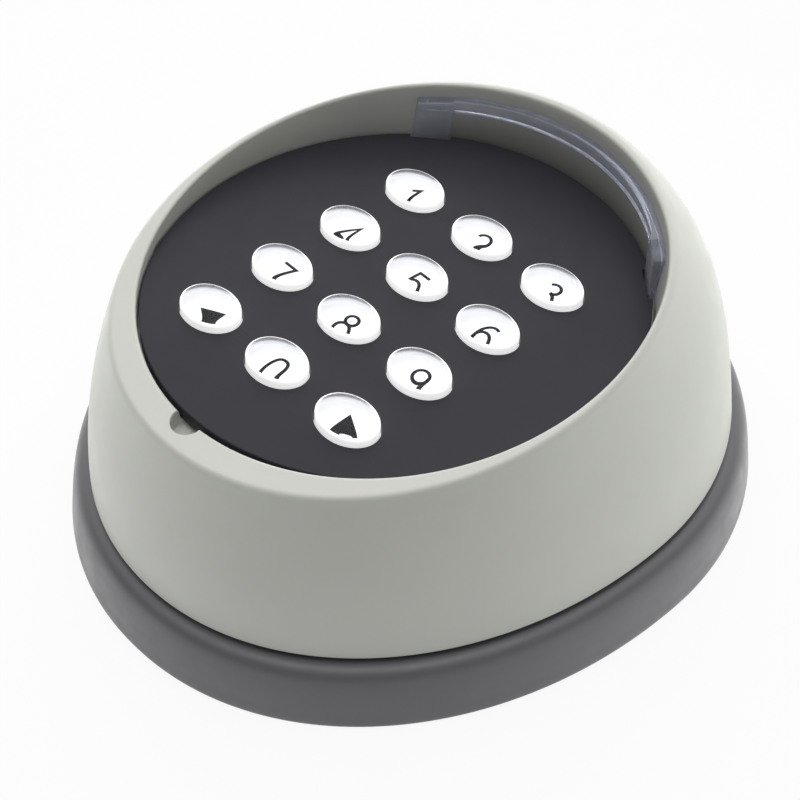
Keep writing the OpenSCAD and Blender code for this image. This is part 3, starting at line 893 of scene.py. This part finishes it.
def guide_leg(side):
    """From a rounded top straight down into the face plate's notch."""
    middle = side * LEG_ANGLE
    x, y = oval_xy(WELL, 0, np.array([middle]))
    radius = float(np.hypot(x[0], y[0] - WELL.centre_y))
    half_width = LEG_HALF_ANGLE * radius
    h = hood_height(middle)

    def section(depth, shrink, drop=None):
        half = half_width - shrink
        ring = []
        for inset, across in rounded_box(0.1 + shrink * 0.3, mix(1.9, 0.85, depth) - shrink,
                                         -half, half, high_r=GUIDE_ROUND,
                                         low_r=GUIDE_BACK_ROUND, steps=6):
            angle = middle + across / radius
            if drop is None:
                ring.append(hood_points(angle, depth, inset)[0])
            else:
                ring.append(well(np.array([angle]), inset, drop)[0])
        return np.array(ring)

    rings = []
    for j in range(5, -1, -1):
        t = math.radians(90 * j / 5)
        rings.append(section(LEG_TOP + LEG_TOP_ROUND * (1 - math.sin(t)) / h,
                             LEG_TOP_ROUND * (1 - math.cos(t))))
    rings += [section(depth, 0) for depth in np.linspace(LEG_TOP + LEG_TOP_ROUND / h, 1, 8)[1:]]
    rings.append(section(1.0, 0, LEG_END_DROP))
    return loft("leg", rings)


guide = guide_strip()
combine(guide, [guide_leg(-1), guide_leg(1)], "UNION")
settle(guide, "root", [GUIDE_CLEAR], ["light_guide"], sharp=40)

# ------------------------------------------------------------------ keys
DOME_POWER, DOME_RISE = 4.0, 0.9   # how flat the top is, and how far it stands above its side
CAP_LOW = PRINT_W + 0.02
# (half width, half height, w) of the carrier's flange, from the back
FLANGE = [(5.5, 4.4, -3.0), (5.65, 4.55, -2.96), (5.7, 4.6, -2.85), (5.7, 4.6, -2.25),
          (5.65, 4.55, -2.14), (5.5, 4.4, PRINT_W)]


def key_loft(name, cx, cy, rings):
    """Lofts ellipses of (half width, half height, w) round a key's middle."""
    return loft(name, [front(at_height(ellipse(cx, cy, a, b, 96), w)) for a, b, w in rings])


def key_cap(name, cx, cy):
    """Deep clear cap: polished sides down to the printed face, and a domed top."""
    # (share of the key's size, w)
    rings = [(share, CAP_LOW) for share in (0.02, 0.5, 0.9)]
    for t in map(math.radians, (0, 30, 60, 90)):
        rings.append((1 - 0.012 * (1 - math.sin(t)), CAP_LOW + 0.06 * (1 - math.cos(t))))
    rings += [(1.0, w) for w in (CAP_LOW + 0.5, -0.8, -0.1, 0.34)]
    for degrees in np.linspace(0, 90, 31)[1:]:
        c, s = math.cos(math.radians(degrees)), math.sin(math.radians(degrees))
        r = (c ** DOME_POWER + s ** DOME_POWER) ** (-1 / DOME_POWER)
        rings.append((max(r * c, 0.004), 0.35 + DOME_RISE * r * s))
    return key_loft(name, cx, cy, [(KEY_A * share, KEY_B * share, w) for share, w in rings])


def coat_cap(cap, cx, cy):
    """Slot 2 (contact) goes on the underside and slot 1 (skirt) on the sides up to the dome."""
    for face in cap.data.polygons:
        x, y, z = face.center
        w = (y - GRID_Y) * SIN_TILT + (z - FACE_Z) * COS_TILT
        face_y = (y - GRID_Y) * COS_TILT - (z - FACE_Z) * SIN_TILT
        share = math.hypot((x - cx) / KEY_A, (face_y - cy) / KEY_B)
        if w < PRINT_W + 0.07 and share < 0.985:
            face.material_index = 2
        elif w < 1.03 and share > 0.91:
            face.material_index = 1


def carrier(name, cx, cy):
    """White flanged carrier; its top is the printed face."""
    a, b, back = FLANGE[0]
    rings = [(a * share, b * share, back) for share in (0.02, 0.6)] + FLANGE
    rings += [(a * share, b * share, PRINT_W) for share in (0.8, 0.4, 0.02)]
    return key_loft(name, cx, cy, rings)


# ------------------------------------------------------------------ legends
def arc(cx, cy, rx, ry, start, end, count=22):
    return [(cx + rx * math.cos(math.radians(a)), cy + ry * math.sin(math.radians(a)))
            for a in np.linspace(start, end, count)]


def rounded_zero():
    points = []
    power = 2 / 2.5
    for t in np.linspace(0, 360, 73)[:-1]:
        c, s = math.cos(math.radians(t)), math.sin(math.radians(t))
        points.append((1.2 * math.copysign(abs(c) ** power, c),
                       2.1 * math.copysign(abs(s) ** power, s)))
    return points


# strokes of each digit: (centre line, closed)
GLYPHS = {
    "1": [([(-0.72, 1.18), (0.28, 2.1), (0.28, -1.7)], False)],
    "2": [(arc(0.0, 0.9, 1.15, 1.2, 172, -28) + [(-1.2, -2.1), (1.25, -2.1)], False)],
    "3": [(arc(-0.05, 1.08, 1.05, 1.02, 155, -88), False),
          (arc(-0.05, -0.98, 1.22, 1.12, 88, -155), False)],
    "4": [([(0.62, -2.1), (0.62, 2.1), (-1.28, -0.95), (1.25, -0.95)], False)],
    "5": [([(1.05, 2.1), (-0.9, 2.1), (-1.05, 0.2)]
           + arc(-0.02, -0.78, 1.2, 1.32, 128, -145), False)],
    "6": [(arc(0.0, -0.82, 1.2, 1.28, 0, 354, 48), True),
          (arc(0.35, -0.3, 1.55, 2.4, 205, 68, 20), False)],
    "7": [([(-1.2, 2.1), (1.2, 2.1), (-0.45, -2.1)], False)],
    "8": [(arc(0, 1.12, 0.98, 0.98, 0, 354, 44), True),
          (arc(0, -0.98, 1.2, 1.12, 0, 354, 48), True)],
    "9": [(arc(0.0, 0.82, 1.2, 1.28, 0, 354, 48), True),
          (arc(-0.35, 0.3, 1.55, 2.4, 25, -112, 20), False)],
    "0": [(rounded_zero(), True)],
}
GLYPH_SCALE, STROKE = 0.87, 0.44
INK_LOW, INK_HIGH = PRINT_W + 0.0005, PRINT_W + 0.013
LEGEND_SHIFT = (-0.07, -0.33)                      # of every legend from its key's middle
NUDGE = {"1": (-0.18, -0.3), "right": (0.5, 0.13)}  # beyond the common shift


def ribbon(points, closed, cx, cy):
    """A flat stroke along a centre line, with mitred corners."""
    p = np.array(points, float)
    n = len(p)
    rings = []
    for i in range(n):
        before = p[i] - p[i - 1] if i > 0 or closed else None
        after = p[(i + 1) % n] - p[i] if i < n - 1 or closed else None
        before, after = (after if before is None else before,
                         before if after is None else after)
        before, after = before / np.linalg.norm(before), after / np.linalg.norm(after)
        normal = np.array([-before[1], before[0]])
        mitre = normal + np.array([-after[1], after[0]])
        mitre /= max(np.linalg.norm(mitre), 1e-6)
        reach = min(1 / max(mitre @ normal, 1e-3), 2.6)
        a = p[i] + mitre * STROKE / 2 * reach
        b = p[i] - mitre * STROKE / 2 * reach
        rings.append(front([(a[0] + cx, a[1] + cy, INK_LOW), (b[0] + cx, b[1] + cy, INK_LOW),
                            (b[0] + cx, b[1] + cy, INK_HIGH), (a[0] + cx, a[1] + cy, INK_HIGH)]))
    return loft("stroke", rings, closed=closed)


def legend(key, cx, cy):
    nudge = NUDGE.get(key, (0, 0))
    cx, cy = cx + LEGEND_SHIFT[0] + nudge[0], cy + LEGEND_SHIFT[1] + nudge[1]
    if key in ("left", "right"):
        side = -1 if key == "left" else 1
        arrow = np.array([(side * 1.6, 0), (-side * 1.45, 1.65), (-side * 1.45, -1.65)])
        return loft("legend", [front(at_height(arrow + (cx, cy), w))
                               for w in (INK_LOW, INK_HIGH)])
    strokes = [ribbon([(x * GLYPH_SCALE, y * GLYPH_SCALE) for x, y in line], closed, cx, cy)
               for line, closed in GLYPHS[key]]
    if len(strokes) > 1:
        combine(strokes[0], strokes[1:], "UNION")
    return strokes[0]


for key, (cx, cy) in KEYS.items():
    body = "key_" + key
    cap = key_cap(f"cap_{key}", cx, cy)
    coat_cap(cap, cx, cy)
    settle(cap, body, [KEY_CLEAR, KEY_SKIRT, KEY_CONTACT], [f"key_{key}_cap"],
           sharp=40, weighted=False)
    settle(carrier(f"carrier_{key}", cx, cy), body, [KEY_WHITE],
           [f"key_{key}_body"], sharp=40)
    ink = legend(key, cx, cy)
    ink.name = f"legend_{key}"
    ink.data.name = ink.name
    settle(ink, body, [INK], [], sharp=40, weighted=False)

# ------------------------------------------------------------------ silicone mat
MAT_W = -5.65
MAT_TOP_W = MAT_W + 1.02
DOME_FOOT_W = MAT_W + 1.025
# (radius, w) of the dome under a key: hollow first, then outside
MAT_DOME = [(1.5, -4.75), (1.5, -3.9), (2.7, -3.9), (3.75, -4.58), (3.75, DOME_FOOT_W),
            (4.7, DOME_FOOT_W), (4.45, -4.2), (3.6, -3.3), (3.4, -3.06)]


def mat_sheet():
    outline = ellipse(0, FACE_Y, 27, 29, 144)
    sheet = loft("key_mat_sheet", [front(at_height(outline, w))
                                   for w in (MAT_W + 0.02, MAT_TOP_W)])
    low, high = MAT_W - 1, MAT_W + 3

    def hole(x, y, radius, count):
        return turned("hole", x, y, [(radius, low), (radius, high)], count, front)

    holes = [hole(x, (y - GRID_Y) / COS_TILT, 5.2, 40) for x, y in PILLARS]
    holes += [hole(x, y, 2.4, 32) for x, y in POSTS]
    holes += [hole(x, y, 4, 40) for x, y in KEYS.values()]
    # rectangular windows between the keys
    holes += [block("hole", (column * PITCH_X - 1.5, row * PITCH_Y - 1.2, low),
                    (column * PITCH_X + 1.5, row * PITCH_Y + 1.2, high), front)
              for column in (-0.5, 0.5) for row in (-1, 0, 1)]
    return combine(sheet, holes, "DIFFERENCE")


def mat_dome(key, cx, cy):
    """The dome under a key, turned from MAT_DOME, on a mesh of its own."""
    pad = turned("mat_dome_" + key, cx, cy, MAT_DOME, 48, front)
    settle(pad, "root", [SILICONE], [], sharp=35)
    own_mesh(pad)


settle(mat_sheet(), "root", [SILICONE], ["key_mat"], sharp=35)
for key, (cx, cy) in KEYS.items():
    mat_dome(key, cx, cy)

# ------------------------------------------------------------------ pieces kept from the CAD model
CARRIED = {"cable_grommet": SEAL_RUBBER, "case_screws": STEEL, "hood_leds": LED_BODY,
           "circuit_board": BOARD, "board_screws": STEEL, "backlight_leds": LED_BODY,
           "microcontroller": CHIP_BLACK, "crystal": CAN_METAL, "voltage_regulator": CHIP_BLACK,
           "capacitors": SLEEVE, "buzzer": CHIP_BLACK, "terminal_block": TERMINAL,
           "terminal_screws": STEEL}
for name, material in CARRIED.items():
    slots = NODES[name].data.materials
    slots.clear()
    slots.append(material)

# ------------------------------------------------------------------ camera
CAMERA_POSITION = Vector((121.005, -114.62, 195.974)) * MM
# rotation vector, in radians, from the face frame to camera axes: x right, y down, z ahead
CAMERA_TURN = [2.19624129, 0.968395876, -0.343777022]


def rotation(vector):
    """Rotation matrix of a rotation vector."""
    v = np.array(vector)
    angle = np.linalg.norm(v)
    x, y, z = v / angle
    cross = np.array([[0, -z, y], [z, 0, -x], [-y, x, 0]])
    return np.eye(3) + math.sin(angle) * cross + (1 - math.cos(angle)) * cross @ cross


def camera_axes():
    lean = np.array([[1, 0, 0], [0, math.cos(-TILT), -math.sin(-TILT)],
                     [0, math.sin(-TILT), math.cos(-TILT)]])
    return (rotation(CAMERA_TURN) @ lean.T).T @ np.diag([1.0, -1.0, -1.0])


axes = camera_axes()
camera_data = bpy.data.cameras.new("camera")
camera_data.sensor_width = 36
camera_data.lens = 80.473
camera_data.clip_start, camera_data.clip_end = 0.01, 20
camera = new_object("camera", camera_data)
camera.matrix_world = Matrix.Translation(CAMERA_POSITION) @ Matrix(axes.tolist()).to_4x4()
bpy.context.scene.camera = camera

# level directions that the light is laid out by
right = Vector(axes[:, 0])
right.z = 0
right.normalize()
toward = Vector((CAMERA_POSITION.x, CAMERA_POSITION.y, 0)).normalized()


# ------------------------------------------------------------------ floor and light
def floor_glow(mat, position):
    """The lit table the object sees: brighter at both sides and behind, dimmest in front."""
    flat = mat.vector("MULTIPLY", position, (1, 1, 0), out="Vector")
    direction = mat.vector("NORMALIZE", flat, out="Vector")
    distance = mat.vector("LENGTH", flat)

    def glow(behind, at_right, at_left, all_round):
        return mat.total(mat.lobe(direction, -toward, behind), mat.lobe(direction, right, at_right),
                         mat.lobe(direction, -right, at_left), all_round)

    def beyond(start, end):
        """0 inside start, 1 outside end, in metres."""
        node = mat.span(distance, start=start, end=end)
        node.interpolation_type = "SMOOTHSTEP"
        return node

    near = glow(behind=2.15, at_right=0.63, at_left=0.48, all_round=0.79)
    far = glow(behind=0.845, at_right=0.98, at_left=1.24, all_round=0.33)
    is_far = beyond(start=0.08, end=0.12)
    lit = mat.math("ADD", mat.math("MULTIPLY", near, mat.rest(is_far)),
                   mat.math("MULTIPLY", far, is_far))
    # right under the base it is even and dim
    is_open = beyond(start=0.036, end=0.043)
    under_base = 0.55
    return mat.math("ADD", mat.math("MULTIPLY", lit, is_open),
                    mat.math("MULTIPLY", mat.rest(is_open), under_base))


def floor_material():
    """Even and pale to the camera; to every other ray it is the lit table."""
    mat = Mat("floor")
    seen = mat.add(
        "BsdfPrincipled", Roughness=0.9, Specular_IOR_Level=0.0,
        Base_Color=mat.drift(mat.noise(scale=0.01, detail=2), (0.08,) * 3, (0.085,) * 3),
        Emission_Color=(1, 1, 1, 1), Emission_Strength=0.905)
    geometry = mat.add("NewGeometry").outputs
    table = mat.add("Emission", Strength=floor_glow(mat, geometry["Position"]))
    # seen from below the table is clear, so the wall side can be looked at
    seen = mat.add("MixShader", geometry["Backfacing"], seen, mat.add("BsdfTransparent"))
    camera_ray = mat.add("LightPath").outputs["Is Camera Ray"]
    return mat.finish(mat.add("MixShader", camera_ray, table, seen))


def build_floor():
    half, z = 3000, -0.02
    floor = mesh_from("floor", [(-half, -half, z), (half, -half, z), (half, half, z),
                                (-half, half, z)], [(0, 1, 2, 3)])
    floor.data.transform(Matrix.Scale(MM, 4))
    floor.data.materials.append(floor_material())


def build_world():
    """A soft box overhead, a tall soft light behind the hood, and a low one on the right."""
    world = bpy.data.worlds.new("world")
    bpy.context.scene.world = world
    world.use_nodes = True
    sky = Tree(world.node_tree, "OutputWorld")
    direction = sky.add("TexCoord").outputs["Generated"]
    up = sky.math("MAXIMUM", sky.add("SeparateXYZ", direction).outputs[2], 0.0)
    flat = sky.flat_direction(direction)
    behind = sky.lobe(direction, -toward, gain=2.8)
    overhead_tightness, overhead_gain, low_tightness = 8.0, 2.95, 5.0
    overhead = sky.math("MULTIPLY", sky.math("POWER", up, overhead_tightness), overhead_gain)
    sides = sky.total(sky.lobe(flat, right, gain=1.82), sky.lobe(flat, toward, gain=0.36))
    low = sky.math("MULTIPLY", sides, sky.math("POWER", sky.rest(up), low_tightness))
    lights = sky.add("Background", Color=(1.0, 1.0, 1.0, 1),
                     Strength=sky.total(behind, overhead, low))
    backdrop = sky.add("Background", Strength=0.98)
    camera_ray = sky.add("LightPath").outputs["Is Camera Ray"]
    sky.show(sky.add("MixShader", camera_ray, lights, backdrop))


build_floor()
build_world()

view = bpy.context.scene.view_settings
view.view_transform = "Standard"
view.look = "None"
view.exposure = 0.0
